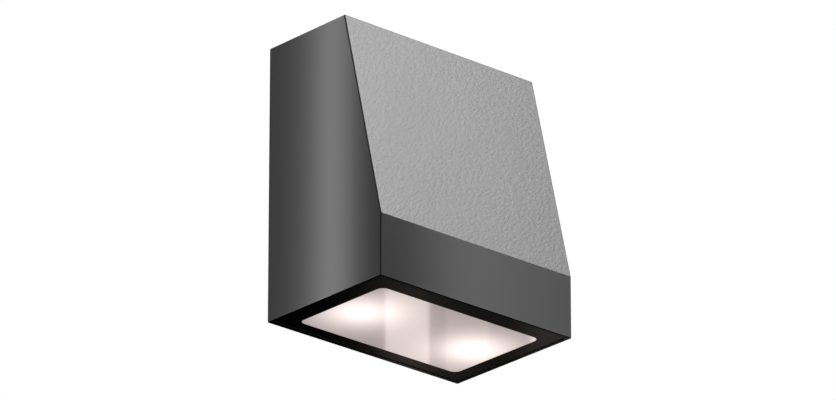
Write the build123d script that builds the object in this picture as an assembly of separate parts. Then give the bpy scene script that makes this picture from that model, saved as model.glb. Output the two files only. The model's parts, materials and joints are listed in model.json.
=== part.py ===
from build123d import *
import math
import os

# Wall light that shines down: a die-cast wedge that clamps on a wall bracket.
# Millimetres. X runs along the wall, -Y points into the room, +Z is up.
# The origin is the centre of the wall screws, on the face of the wall.

# Outer form of the housing
WIDTH = 180.0
HEIGHT = 210.0
DEPTH = 120.0              # wall to front lip
TOP_DEPTH = 81.0           # depth of the flat top
LIP_HEIGHT = 47.0          # vertical lip under the slanted panel
EDGE_RADIUS = 1.0
REAR_GAP = 0.5             # rear rim to wall, closed by the wall seal

# Casting
WALL = 3.5
RIM = 3.0                  # rim that surrounds the glass
LEDGE = 4.0                # ledge that the glass gasket sits on
DECK_UNDER = 54.0          # underside of the deck above the bottom edge
DECK = 5.0
REBATE_RADIUS = 2.0
POCKET_RADIUS = 6.0
GEAR_RADIUS = 4.0          # inner corners of the gear space
RIB = 2.5                  # cooling ribs on the deck
RIB_HEIGHT = 12.0
RIB_PITCH = 14.0
RIB_COUNT = 11
RIB_GAP = 8.0              # end of the ribs to the gear tray

# Glass and its seals
GLASS = 5.0
GLASS_RECESS = 0.5
GLASS_GAP = 0.75           # edge of the glass to the rim, filled by the bead
GLASS_CHAMFER = 0.4
GASKET = 1.5
BORDER = 15.5              # outer edge of the housing to the lit window
WINDOW_RADIUS = 5.5

# Wall seal
SEAL_WIDTH = 1.5
SEAL_GROOVE = 2.0
SEAL_INSET = 1.0           # outer edge of the housing to the groove
SEAL_FOOT = 20.0           # lowest run of the seal above the bottom edge

# Wall bracket
BRACKET_WIDTH = 120.0
BRACKET_SHEET = 2.0
FLANGE = 22.0
BEND_RADIUS = 1.0          # inside of the bends
FLANGE_CORNER = 5.0
CLAMP_GAP = 3.5            # top flange to the top wall
SLOT_SPACING_X = 80.0
SLOT_SPACING_Z = 90.0
SLOT_LENGTH = 12.0
SLOT_WIDTH = 5.5
DISH_RADIUS = 22.0         # dish round the cable hole
DISH_DEPTH = 3.0
DISH_SLOPE = 4.0
CABLE_HOLE_RADIUS = 9.0
CABLE_RADIUS = 4.0         # opening of the grommet
GROMMET_LIP = 2.0
GROMMET_LIP_WIDTH = 3.0

# Clamping screws
GRUB_RADIUS = 2.5
GRUB_X = 40.0
GRUB_FROM_WALL = 12.0
GRUB_SUNK = 1.0
GRUB_BOSS_RADIUS = 6.0
GRUB_BOSS = 2.5
GRUB_SOCKET = 2.5          # across the flats
GRUB_SOCKET_DEPTH = 3.0

# Light source
BOARD = 52.0
BOARD_SHEET = 1.6
BOARD_RADIUS = 3.0
BOARD_GAP = 3.0            # outer edge of a board to the wall of the pocket
BOARD_HOLE = 21.0          # corner screws from the middle of the board
PAD = 0.5
EMITTER = 19.0
EMITTER_BASE = 1.2
EMITTER_RADIUS = 6.5
EMITTER_DOME = 0.5
LENS_FOOT_RADIUS = 16.5
LENS_RADIUS = 17.0
LENS_BODY = 10.0
LENS_DOME = 4.0
LENS_CAVITY_RADIUS = 14.0
LENS_CAVITY = 3.0
CONNECTOR = 8.0
CONNECTOR_DEPTH = 7.0
CONNECTOR_HEIGHT = 7.0
PLUG_RISE = 2.2            # lead above the underside of the connector
CONNECTOR_INSET = 16.0     # connector from the middle of the board towards the wall

# Reflector
REFLECTOR_MARGIN = 1.5     # window edge to reflector wall
REFLECTOR_SHEET = 1.0
REFLECTOR_HEIGHT = 34.0
REFLECTOR_FLANGE = 3.0
REFLECTOR_RADIUS = 6.0
LENS_CLEARANCE = 1.0
REFLECTOR_BOSS_RADIUS = 4.0

# Gear tray
TRAY_SHEET = 1.5
TRAY_FROM_WALL = 58.0      # rear face of the tray
TRAY_SIDE_GAP = 6.0
TRAY_END_GAP = 14.0        # tray to deck and to top wall
TRAY_FOLD = 8.0
TRAY_CORNER = 6.0
TRAY_BOSS_RADIUS = 4.5

# Driver
DRIVER_LENGTH = 120.0
DRIVER_HEIGHT = 38.0
DRIVER_DEPTH = 22.0
DRIVER_COVER = 2.0
DRIVER_RADIUS = 2.0
DRIVER_DROP = 8.0          # below the top edge of the tray
DRIVER_EAR = 9.0
DRIVER_EAR_HEIGHT = 16.0
DRIVER_EAR_SHEET = 3.0
OUTPUT_PITCH = 9.0
INPUT_PITCH = 9.0
ENTRY_FROM_TRAY = 12.0     # wire entries of driver and terminal, off the tray
ENTRY_DEPTH = 4.0

# Terminal block and its release buttons
POLE_PITCH = 11.0
POLES = 3
TERMINAL_END = 3.5
TERMINAL_HEIGHT = 22.0
TERMINAL_DEPTH = 20.0
TERMINAL_SHARE = 0.47      # of the tray's free height that is left below the terminal
TERMINAL_ENTRY = 4.0       # gear wires of the terminal, off the tray
TERMINAL_EAR = 9.0
TERMINAL_EAR_SHEET = 4.0
TERMINAL_EAR_HEIGHT = 12.0
TERMINAL_CORNER = 1.5
TERMINAL_EDGE = 0.8
TERMINAL_EAR_CORNER = 2.0
SUPPLY_HOLE_RADIUS = 2.2
SUPPLY_HOLE_DEPTH = 9.0
BUTTON_WIDTH = 5.6
BUTTON_HEIGHT = 4.0
BUTTON_LENGTH = 9.0
BUTTON_PROUD = 3.0
BUTTON_TRAVEL = 2.0
BUTTON_CLEARANCE = 0.2
BUTTON_DROP = 7.0          # below the top of the terminal
BUTTON_EDGE = 0.5
BUTTON_SLOT = 0.8          # screwdriver slot across the button
BUTTON_SLOT_LENGTH = 4.5
BUTTON_SLOT_DEPTH = 0.6

# Wires and small screws
WIRE_RADIUS = 1.2
LEAD_RADIUS = 1.4
LEAD_PITCH = 5.0
LEAD_STEP = 2.5            # half of the height between the two leads where they cross to the grommet
LEAD_DROP = 10.0           # below the terminal, where the leads cross to the grommet
LEAD_SIDE = 12.0           # driver to the leads' way down
LEAD_RUN = 12.0            # straight run into a connector
LEAD_BEND = 5.5
SUPPLY_SIDE = 10.0         # driver to the supply wires' way up
SUPPLY_STEP = 2.0          # keeps the two supply wires apart on their way up
SUPPLY_CROSS_SHARE = 0.55  # where they go aside, of the height between terminal and driver
SUPPLY_CLIMB_SHARE = 0.22  # their rise on that way, of the same height
SUPPLY_SPREAD_SHARE = 0.11 # half of the height between them, of the same height
SUPPLY_BEND = 4.5
LEAD_GROMMET_GAP = 1.5     # lip to the bracket's flange, and to the reflector's rear boss
LEAD_GROMMET_RADIUS = 4.5  # neck in the deck
LEAD_GROMMET_LIP = 1.2
LEAD_GROMMET_LIP_WIDTH = 1.0
EARTH_X = 48.0
EARTH_DROP = 8.5           # below the driver
EARTH_CLIMB = 6.0          # last rise of the wire to its ring
EARTH_RUN = 9.0            # straight run into the ring's barrel
EARTH_BEND = 4.0
EARTH_RING_RADIUS = 4.5
EARTH_RING_SHEET = 0.8
BARREL_RADIUS = 1.8
BARREL_LENGTH = 7.0
SCREW_CLEARANCE = 0.05     # thread in its tapped hole
HOLE_CLEARANCE = 0.25      # shank in its plain hole
M3 = 1.5
M4 = 2.0
HEAD_RATIO = 1.9           # head radius over thread radius
HEAD_HEIGHT_RATIO = 1.3    # head height over thread radius
HEAD_ROUND_SHARE = 0.4     # of the head's height
THREAD_POINT_RATIO = 0.3   # chamfer over thread radius
RECESS_ARM_RATIO = 0.4     # width of the cross recess over thread radius
SCREW_BITE = 4.0           # thread below the seat
BLIND_ALLOWANCE = 0.5      # tapped hole past the screw
RECESS_SHARE = 0.5         # of the head's height

# Levels and planes that the pieces share
DECK_TOP = DECK_UNDER + DECK
TOP_INNER = HEIGHT - WALL
BRACKET_HEIGHT = TOP_INNER - CLAMP_GAP - DECK_TOP
MOUNT_HEIGHT = DECK_TOP + BRACKET_HEIGHT / 2
REBATE = GLASS_RECESS + GLASS + GASKET
WINDOW_Y = -DEPTH / 2
WINDOW_WIDTH = WIDTH - 2 * BORDER
WINDOW_DEPTH = DEPTH - 2 * BORDER
GLASS_Y = -(DEPTH + REAR_GAP) / 2
REBATE_WIDTH = WIDTH - 2 * RIM
REBATE_DEPTH = DEPTH - REAR_GAP - 2 * RIM
GLASS_WIDTH = REBATE_WIDTH - 2 * GLASS_GAP
GLASS_DEPTH = REBATE_DEPTH - 2 * GLASS_GAP
GLASS_RADIUS = max(REBATE_RADIUS - GLASS_GAP, 0.5)
POCKET_WIDTH = REBATE_WIDTH - 2 * LEDGE
POCKET_DEPTH = REBATE_DEPTH - 2 * LEDGE
LED_X = POCKET_WIDTH / 2 - BOARD_GAP - BOARD / 2
BOARD_FACE = DECK_UNDER - PAD - BOARD_SHEET
LEAD_GROMMET_SPREAD = LEAD_GROMMET_RADIUS + LEAD_GROMMET_LIP_WIDTH
LEAD_GROMMET_Y = -FLANGE - LEAD_GROMMET_GAP - LEAD_GROMMET_SPREAD
REFLECTOR_REAR_SCREW = LEAD_GROMMET_Y - LEAD_GROMMET_SPREAD - LEAD_GROMMET_GAP - REFLECTOR_BOSS_RADIUS
REFLECTOR_SCREW_Y = REFLECTOR_REAR_SCREW - WINDOW_Y
REFLECTOR_TOP = REBATE + REFLECTOR_HEIGHT
GEAR_WIDTH = WIDTH - 2 * WALL
TRAY_WIDTH = GEAR_WIDTH - 2 * TRAY_SIDE_GAP
TRAY_SCREW_INSET = (TRAY_WIDTH - DRIVER_LENGTH) / 4
TRAY_FOOT = DECK_TOP + TRAY_END_GAP
TRAY_HEAD = TOP_INNER - TRAY_END_GAP
TRAY_REAR = -TRAY_FROM_WALL
TRAY_FRONT = TRAY_REAR - TRAY_SHEET
ENTRY_Y = TRAY_REAR + ENTRY_FROM_TRAY
DRIVER_LEVEL = TRAY_HEAD - DRIVER_DROP - DRIVER_HEIGHT / 2
DRIVER_FOOT = DRIVER_LEVEL - DRIVER_HEIGHT / 2
TERMINAL_WIDTH = POLES * POLE_PITCH + 2 * TERMINAL_END
TERMINAL_FOOT = TRAY_FOOT + TERMINAL_SHARE * (DRIVER_FOOT - TERMINAL_HEIGHT - TRAY_FOOT)
TERMINAL_TOP = TERMINAL_FOOT + TERMINAL_HEIGHT
TERMINAL_REAR = TRAY_REAR + TERMINAL_DEPTH
BUTTON_LEVEL = TERMINAL_TOP - BUTTON_DROP
EARTH_LEVEL = DRIVER_FOOT - EARTH_DROP
POLE_X = [(pole - (POLES - 1) / 2) * POLE_PITCH for pole in range(POLES)]
SIDES = {"left": -1, "right": 1}


def level(height):
    """Z of a height above the bottom edge."""
    return height - MOUNT_HEIGHT


def block(x0, x1, y0, y1, z0, z1):
    """Box between two corners."""
    return Pos((x0 + x1) / 2, (y0 + y1) / 2, (z0 + z1) / 2) * Box(x1 - x0, y1 - y0, z1 - z0)


def slab(width, depth, radius, y, low, high):
    """Level plate with round corners, between two heights above the bottom edge."""
    return Pos(0, y, level(low)) * extrude(RectangleRounded(width, depth, radius), high - low)


def post(radius, low, high, x, y):
    """Upright cylinder between two heights above the bottom edge."""
    return Pos(x, y, level((low + high) / 2)) * Cylinder(radius, high - low)


def rod(radius, y0, y1, x, height):
    """Cylinder along Y."""
    return Pos(x, (y0 + y1) / 2, level(height)) * Rot(90, 0, 0) * Cylinder(radius, y1 - y0)


def upright(width, height, radius, y0, y1, x, middle):
    """Plate that faces the wall, with round corners, between two distances along Y."""
    face = Plane.XZ * RectangleRounded(width, height, radius)
    return Pos(x, y1, level(middle)) * extrude(face, y1 - y0)


def pan_screw(radius, length):
    """Pan-head screw with a cross recess: its seat is at z = 0, the thread points down."""
    head_radius = HEAD_RATIO * radius
    head_height = HEAD_HEIGHT_RATIO * radius
    head = Pos(0, 0, head_height / 2) * Cylinder(head_radius, head_height)
    head = fillet(head.edges().sort_by(Axis.Z)[-1], HEAD_ROUND_SHARE * head_height)
    thread = Pos(0, 0, -length / 2) * Cylinder(radius, length)
    thread = chamfer(thread.edges().sort_by(Axis.Z)[0], THREAD_POINT_RATIO * radius)
    screw = head + thread
    arm = Box(head_radius, RECESS_ARM_RATIO * radius, RECESS_SHARE * head_height)
    recess = Pos(0, 0, head_height) * (arm + Rot(0, 0, 90) * arm)
    return screw - recess


def facing_wall(screw, x, y, height):
    """Turns a screw so that its head faces the wall."""
    return Pos(x, y, level(height)) * Rot(-90, 0, 0) * screw


def facing_down(screw, x, y, height):
    """Turns a screw so that its head faces the floor."""
    return Pos(x, y, level(height)) * Rot(180, 0, 0) * screw


def wedge():
    """The outer form, before anything is cut."""
    corners = [
        (-REAR_GAP, level(0)),
        (-REAR_GAP, level(HEIGHT)),
        (-TOP_DEPTH, level(HEIGHT)),
        (-DEPTH, level(LIP_HEIGHT)),
        (-DEPTH, level(0)),
    ]
    outline = Plane.YZ * make_face(Polyline(*corners, close=True))
    return extrude(outline, WIDTH / 2, both=True), outline


def tray_screw_places():
    """X and height of the four tray screws."""
    x = TRAY_WIDTH / 2 - TRAY_SCREW_INSET
    return [(side * x, height) for side in (-1, 1)
            for height in (TRAY_FOOT + TRAY_SCREW_INSET, TRAY_HEAD - TRAY_SCREW_INSET)]


def board_screw_places():
    """X and Y of the board screws, on one diagonal of each board."""
    return [(side * (LED_X + turn * BOARD_HOLE), WINDOW_Y + turn * BOARD_HOLE)
            for side in SIDES.values() for turn in (-1, 1)]


def reflector_screw_places():
    return [(0, WINDOW_Y + side * REFLECTOR_SCREW_Y) for side in (-1, 1)]


def seal_ring(depth_from, depth_to):
    """Ring that follows the rear rim, between two distances from the wall."""
    width = WIDTH - 2 * SEAL_INSET
    height = HEIGHT - SEAL_INSET - SEAL_FOOT
    middle = SEAL_FOOT + height / 2
    outer = upright(width, height, GEAR_RADIUS, -depth_to, -depth_from, 0, middle)
    inner = upright(width - 2 * SEAL_WIDTH, height - 2 * SEAL_WIDTH, GEAR_RADIUS - SEAL_WIDTH,
                    -depth_to, -depth_from, 0, middle)
    return outer - inner


def make_housing():
    """Die-cast wedge: optical pocket below the deck, gear space above it."""
    solid, outline = wedge()
    rear = solid.faces().sort_by(Axis.Y)[-1]
    outer_edges = [edge for edge in solid.edges() if edge not in rear.edges()]
    body = fillet(outer_edges, EDGE_RADIUS)

    rebate = slab(REBATE_WIDTH, REBATE_DEPTH, REBATE_RADIUS, GLASS_Y, -EDGE_RADIUS, REBATE)
    pocket = slab(POCKET_WIDTH, POCKET_DEPTH, POCKET_RADIUS, GLASS_Y, 0, DECK_UNDER)

    inner = extrude(offset(outline, -WALL, kind=Kind.INTERSECTION), GEAR_WIDTH / 2, both=True)
    inner += block(-GEAR_WIDTH / 2, GEAR_WIDTH / 2, -2 * WALL, 0, level(DECK_TOP), level(TOP_INNER))
    above_deck = block(-WIDTH, WIDTH, -2 * DEPTH, DEPTH, level(DECK_TOP), level(2 * HEIGHT))
    gear = inner & above_deck
    gear = fillet(gear.edges().filter_by(Axis.Y), GEAR_RADIUS)
    body -= rebate + pocket
    body -= gear

    # Cooling ribs stand on the deck between the front wall and the gear tray.
    rib_end = TRAY_FRONT - RIB_GAP
    for index in range(RIB_COUNT):
        x = (index - (RIB_COUNT - 1) / 2) * RIB_PITCH
        rib = block(x - RIB / 2, x + RIB / 2, -DEPTH, rib_end, level(DECK_TOP) - DECK / 2,
                    level(DECK_TOP + RIB_HEIGHT))
        body += rib & solid

    # Bosses for the tray stand off the slanted panel.
    for x, height in tray_screw_places():
        body += rod(TRAY_BOSS_RADIUS, -DEPTH, TRAY_FRONT, x, height) & solid
        body -= rod(M4 + SCREW_CLEARANCE, TRAY_FRONT - SCREW_BITE - BLIND_ALLOWANCE, TRAY_FRONT, x, height)

    # Bosses for the reflector hang from the deck, and the board screws bite into it.
    for x, y in reflector_screw_places():
        body += post(REFLECTOR_BOSS_RADIUS, REFLECTOR_TOP, DECK_UNDER, x, y)
        body -= post(M3 + SCREW_CLEARANCE, REFLECTOR_TOP, REFLECTOR_TOP + SCREW_BITE + BLIND_ALLOWANCE, x, y)
    for x, y in board_screw_places():
        body -= post(M3 + SCREW_CLEARANCE, DECK_UNDER, DECK_UNDER + SCREW_BITE, x, y)

    # Lead hole through the deck, and tapped bosses for the clamping screws.
    body -= post(LEAD_GROMMET_RADIUS, DECK_UNDER, DECK_TOP, 0, LEAD_GROMMET_Y)
    for side in SIDES.values():
        body += post(GRUB_BOSS_RADIUS, TOP_INNER - GRUB_BOSS, TOP_INNER, side * GRUB_X, -GRUB_FROM_WALL)
        body -= post(GRUB_RADIUS + SCREW_CLEARANCE, 0.5 * HEIGHT, HEIGHT, side * GRUB_X, -GRUB_FROM_WALL)
    return body - seal_ring(REAR_GAP, REAR_GAP + SEAL_GROOVE)


def make_wall_seal():
    return seal_ring(0, REAR_GAP + SEAL_GROOVE)


def make_grub_screws():
    """Flat-point socket screws: the point stands on the bracket's top flange."""
    low = TOP_INNER - CLAMP_GAP
    high = HEIGHT - GRUB_SUNK
    socket = extrude(RegularPolygon(GRUB_SOCKET / math.sqrt(3), 6), GRUB_SOCKET_DEPTH)
    screws = []
    for side in SIDES.values():
        screw = post(GRUB_RADIUS, low, high, side * GRUB_X, -GRUB_FROM_WALL)
        screw = chamfer(screw.edges().sort_by(Axis.Z)[0], 0.2 * GRUB_RADIUS)
        place = Pos(side * GRUB_X, -GRUB_FROM_WALL, level(high - GRUB_SOCKET_DEPTH))
        screws.append(screw - place * socket)
    return Compound(children=screws)


def make_glass():
    plate = slab(GLASS_WIDTH, GLASS_DEPTH, GLASS_RADIUS, GLASS_Y, GLASS_RECESS, GLASS_RECESS + GLASS)
    faces = plate.faces().sort_by(Axis.Z)
    return chamfer(faces[0].edges() + faces[-1].edges(), GLASS_CHAMFER)


def make_glass_gasket():
    low = GLASS_RECESS + GLASS
    frame = slab(GLASS_WIDTH, GLASS_DEPTH, GLASS_RADIUS, GLASS_Y, low, REBATE)
    window = slab(WINDOW_WIDTH, WINDOW_DEPTH, WINDOW_RADIUS, WINDOW_Y, low, REBATE)
    return frame - window


def make_glass_bead():
    low = GLASS_RECESS + GLASS_CHAMFER
    high = GLASS_RECESS + GLASS - GLASS_CHAMFER
    outer = slab(REBATE_WIDTH, REBATE_DEPTH, REBATE_RADIUS, GLASS_Y, low, high)
    return outer - slab(GLASS_WIDTH, GLASS_DEPTH, GLASS_RADIUS, GLASS_Y, low, high)


def make_reflector():
    """Deep-drawn box with a flange at its mouth and two holes for the lenses."""
    inner_width = WINDOW_WIDTH + 2 * REFLECTOR_MARGIN
    inner_depth = WINDOW_DEPTH + 2 * REFLECTOR_MARGIN
    sheet = 2 * REFLECTOR_SHEET
    box = slab(inner_width + sheet, inner_depth + sheet, REFLECTOR_RADIUS + REFLECTOR_SHEET, WINDOW_Y,
               REBATE, REFLECTOR_TOP)
    rim = 2 * REFLECTOR_FLANGE + sheet
    box += slab(inner_width + rim, inner_depth + rim, REFLECTOR_RADIUS + REFLECTOR_FLANGE, WINDOW_Y,
                REBATE, REBATE + REFLECTOR_SHEET)
    box -= slab(inner_width, inner_depth, REFLECTOR_RADIUS, WINDOW_Y, REBATE, REFLECTOR_TOP - REFLECTOR_SHEET)
    for side in SIDES.values():
        box -= post(LENS_RADIUS + LENS_CLEARANCE, REBATE, REFLECTOR_TOP, side * LED_X, WINDOW_Y)
    for x, y in reflector_screw_places():
        box -= post(M3 + HOLE_CLEARANCE, REBATE, REFLECTOR_TOP, x, y)
    return box


def make_reflector_screws():
    screw = pan_screw(M3, REFLECTOR_SHEET + SCREW_BITE)
    seat = REFLECTOR_TOP - REFLECTOR_SHEET
    return Compound(children=[facing_down(screw, x, y, seat) for x, y in reflector_screw_places()])


def make_led_board(side):
    """Aluminium-core board, seated on its pad under the deck."""
    high = DECK_UNDER - PAD
    board = Pos(side * LED_X, 0, 0) * slab(BOARD, BOARD, BOARD_RADIUS, WINDOW_Y, BOARD_FACE, high)
    for x, y in board_screw_places():
        board -= post(M3 + HOLE_CLEARANCE, BOARD_FACE, high, x, y)
    return board


def make_emitter(side):
    """Chip-on-board emitter: square base and round light face."""
    face = BOARD_FACE - EMITTER_BASE
    x0 = side * LED_X - EMITTER / 2
    y0 = WINDOW_Y - EMITTER / 2
    base = block(x0, x0 + EMITTER, y0, y0 + EMITTER, level(face), level(BOARD_FACE))
    return base + post(EMITTER_RADIUS, face - EMITTER_DOME, face, side * LED_X, WINDOW_Y)


def make_lens(side):
    """Moulded lens with a foot ring on the board and a domed face."""
    tip = -LENS_BODY - LENS_DOME
    sphere = (LENS_RADIUS ** 2 + LENS_DOME ** 2) / (2 * LENS_DOME)
    half_turn = math.asin(LENS_RADIUS / sphere) / 2
    dome_middle = (sphere * math.sin(half_turn), tip + sphere * (1 - math.cos(half_turn)))
    outline = [
        Polyline((LENS_CAVITY_RADIUS, 0), (LENS_FOOT_RADIUS, 0), (LENS_RADIUS, -LENS_BODY)),
        ThreePointArc((LENS_RADIUS, -LENS_BODY), dome_middle, (0, tip)),
        Polyline((0, tip), (0, -LENS_CAVITY), (LENS_CAVITY_RADIUS, -LENS_CAVITY), (LENS_CAVITY_RADIUS, 0)),
    ]
    profile = Plane.XZ * make_face(Curve() + outline)
    return Pos(side * LED_X, WINDOW_Y, level(BOARD_FACE)) * revolve(profile, Axis.Z)


def make_thermal_pads():
    pads = []
    for side in SIDES.values():
        pad = Pos(side * LED_X, 0, 0) * slab(BOARD, BOARD, BOARD_RADIUS, WINDOW_Y, DECK_UNDER - PAD, DECK_UNDER)
        for x, y in board_screw_places():
            pad -= post(M3 + HOLE_CLEARANCE, DECK_UNDER - PAD, DECK_UNDER, x, y)
        pads.append(pad)
    return Compound(children=pads)


def make_board_screws():
    screw = pan_screw(M3, BOARD_SHEET + PAD + SCREW_BITE - BLIND_ALLOWANCE)
    return Compound(children=[facing_down(screw, x, y, BOARD_FACE) for x, y in board_screw_places()])


def connector_inner_x(side):
    """Face of a connector that its lead enters, at the inner edge of the board."""
    return side * (LED_X - BOARD / 2)


def make_led_connectors():
    connectors = []
    y = WINDOW_Y + CONNECTOR_INSET
    for side in SIDES.values():
        x = sorted((connector_inner_x(side), connector_inner_x(side) + side * CONNECTOR_DEPTH))
        connectors.append(block(x[0], x[1], y, y + CONNECTOR, level(BOARD_FACE - CONNECTOR_HEIGHT),
                                level(BOARD_FACE)))
    return Compound(children=connectors)


def wire(points, radius, bend):
    """Round wire along straight runs joined by arcs."""
    corners = [Vector(x, y, level(height)) for x, y, height in points]
    route = FilletPolyline(*corners, radius=bend)
    section = Plane(corners[0], z_dir=corners[1] - corners[0]) * Circle(radius)
    return sweep(section, path=route)


def lead_route(side):
    """Driver output, down beside the terminal, through the deck and along to the board."""
    out_x = DRIVER_LENGTH / 2 - ENTRY_DEPTH
    out_level = DRIVER_LEVEL + side * OUTPUT_PITCH / 2
    drop_x = DRIVER_LENGTH / 2 + LEAD_SIDE + side * LEAD_PITCH / 2
    cross_level = TERMINAL_FOOT - LEAD_DROP - side * LEAD_STEP
    through_x = side * LEAD_PITCH / 2
    plug_y = WINDOW_Y + CONNECTOR_INSET + CONNECTOR / 2
    plug_level = BOARD_FACE - CONNECTOR_HEIGHT + PLUG_RISE
    return [
        (out_x, ENTRY_Y, out_level),
        (drop_x, ENTRY_Y, out_level),
        (drop_x, ENTRY_Y, cross_level),
        (through_x, LEAD_GROMMET_Y, cross_level),
        (through_x, LEAD_GROMMET_Y, plug_level),
        (connector_inner_x(side) - side * LEAD_RUN, plug_y, plug_level),
        (connector_inner_x(side), plug_y, plug_level),
    ]


def make_lead(side):
    return wire(lead_route(side), LEAD_RADIUS, LEAD_BEND)


def make_lead_grommet():
    """Soft bush with a lip on each side of the deck and a hole for each lead."""
    y = LEAD_GROMMET_Y
    low = DECK_UNDER - LEAD_GROMMET_LIP
    high = DECK_TOP + LEAD_GROMMET_LIP
    bush = post(LEAD_GROMMET_RADIUS, low, high, 0, y)
    bush += post(LEAD_GROMMET_SPREAD, low, DECK_UNDER, 0, y)
    bush += post(LEAD_GROMMET_SPREAD, DECK_TOP, high, 0, y)
    for side in SIDES.values():
        bush -= post(LEAD_RADIUS, low, high, side * LEAD_PITCH / 2, y)
    return bush


def make_gear_tray():
    """Folded sheet: a flat face for the gear, with both long edges folded forward."""
    height = TRAY_HEAD - TRAY_FOOT
    middle = (TRAY_HEAD + TRAY_FOOT) / 2
    tray = upright(TRAY_WIDTH, height, TRAY_CORNER, TRAY_FRONT, TRAY_REAR, 0, middle)
    fold_height = height - 4 * TRAY_CORNER
    for side in SIDES.values():
        x = sorted((side * TRAY_WIDTH / 2, side * (TRAY_WIDTH / 2 - TRAY_SHEET)))
        tray += block(x[0], x[1], TRAY_FRONT - TRAY_FOLD, TRAY_REAR,
                      level(middle - fold_height / 2), level(middle + fold_height / 2))
    for x, place in tray_screw_places():
        tray -= rod(M4 + HOLE_CLEARANCE, TRAY_FRONT, TRAY_REAR, x, place)
    for x, place in driver_screw_places() + terminal_screw_places():
        tray -= rod(M3 + SCREW_CLEARANCE, TRAY_FRONT, TRAY_REAR, x, place)
    return tray - rod(M4 + SCREW_CLEARANCE, TRAY_FRONT, TRAY_REAR, EARTH_X, EARTH_LEVEL)


def make_tray_screws():
    screw = pan_screw(M4, TRAY_SHEET + SCREW_BITE)
    return Compound(children=[facing_wall(screw, x, TRAY_REAR, height) for x, height in tray_screw_places()])


def driver_screw_places():
    x = DRIVER_LENGTH / 2 + DRIVER_EAR / 2
    return [(side * x, DRIVER_LEVEL - DRIVER_HEIGHT / 2 + DRIVER_EAR_HEIGHT / 2) for side in SIDES.values()]


def make_driver_case():
    """Potted driver: body with a screw ear at each end and round wire entries."""
    rear = TRAY_REAR + DRIVER_DEPTH
    body = upright(DRIVER_LENGTH, DRIVER_HEIGHT, DRIVER_RADIUS, TRAY_REAR, rear, 0, DRIVER_LEVEL)
    ear_length = DRIVER_LENGTH + 2 * DRIVER_EAR
    ear_level = DRIVER_LEVEL - DRIVER_HEIGHT / 2 + DRIVER_EAR_HEIGHT / 2
    body += upright(ear_length, DRIVER_EAR_HEIGHT, DRIVER_RADIUS, TRAY_REAR, TRAY_REAR + DRIVER_EAR_SHEET,
                    0, ear_level)
    for x, height in driver_screw_places():
        body -= rod(M3 + HOLE_CLEARANCE, TRAY_REAR, TRAY_REAR + DRIVER_EAR_SHEET, x, height)
    for side in SIDES.values():
        for end, radius, pitch in ((1, LEAD_RADIUS, OUTPUT_PITCH), (-1, WIRE_RADIUS, INPUT_PITCH)):
            middle = end * (DRIVER_LENGTH / 2 - ENTRY_DEPTH / 2)
            entry = Rot(0, 90, 0) * Cylinder(radius, ENTRY_DEPTH)
            body -= Pos(middle, ENTRY_Y, level(DRIVER_LEVEL + side * pitch / 2)) * entry
    return body


def make_driver_cover():
    rear = TRAY_REAR + DRIVER_DEPTH
    cover = upright(DRIVER_LENGTH, DRIVER_HEIGHT, DRIVER_RADIUS, rear, rear + DRIVER_COVER, 0, DRIVER_LEVEL)
    face = cover.faces().sort_by(Axis.Y)[-1]
    return chamfer(face.edges(), 0.4 * DRIVER_COVER)


def make_driver_screws():
    screw = pan_screw(M3, DRIVER_EAR_SHEET + TRAY_SHEET)
    seat = TRAY_REAR + DRIVER_EAR_SHEET
    return Compound(children=[facing_wall(screw, x, seat, height) for x, height in driver_screw_places()])


def terminal_screw_places():
    x = TERMINAL_WIDTH / 2 + TERMINAL_EAR / 2
    return [(side * x, TERMINAL_FOOT + TERMINAL_EAR_HEIGHT / 2) for side in SIDES.values()]


def make_terminal_block():
    """Push-in terminal: supply holes below, gear wires above, a release button for each pole."""
    middle = (TERMINAL_FOOT + TERMINAL_TOP) / 2
    body = upright(TERMINAL_WIDTH, TERMINAL_HEIGHT, TERMINAL_CORNER, TRAY_REAR, TERMINAL_REAR, 0, middle)
    body = fillet(body.faces().sort_by(Axis.Y)[-1].edges(), TERMINAL_EDGE)
    ear_width = TERMINAL_WIDTH + 2 * TERMINAL_EAR
    body += upright(ear_width, TERMINAL_EAR_HEIGHT, TERMINAL_EAR_CORNER, TRAY_REAR,
                    TRAY_REAR + TERMINAL_EAR_SHEET, 0, TERMINAL_FOOT + TERMINAL_EAR_HEIGHT / 2)
    for x, height in terminal_screw_places():
        body -= rod(M3 + HOLE_CLEARANCE, TRAY_REAR, TRAY_REAR + TERMINAL_EAR_SHEET, x, height)
    floor = TERMINAL_REAR + BUTTON_PROUD - BUTTON_LENGTH - BUTTON_TRAVEL - BUTTON_CLEARANCE
    half_width = BUTTON_WIDTH / 2 + BUTTON_CLEARANCE
    half_height = BUTTON_HEIGHT / 2 + BUTTON_CLEARANCE
    for x in POLE_X:
        body -= block(x - half_width, x + half_width, floor, TERMINAL_REAR,
                      level(BUTTON_LEVEL - half_height), level(BUTTON_LEVEL + half_height))
        body -= post(SUPPLY_HOLE_RADIUS, TERMINAL_FOOT, TERMINAL_FOOT + SUPPLY_HOLE_DEPTH, x, ENTRY_Y)
        body -= post(WIRE_RADIUS, TERMINAL_TOP - ENTRY_DEPTH, TERMINAL_TOP, x, TRAY_REAR + TERMINAL_ENTRY)
    return body


def make_terminal_screws():
    screw = pan_screw(M3, TERMINAL_EAR_SHEET + TRAY_SHEET)
    seat = TRAY_REAR + TERMINAL_EAR_SHEET
    return Compound(children=[facing_wall(screw, x, seat, height) for x, height in terminal_screw_places()])


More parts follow.
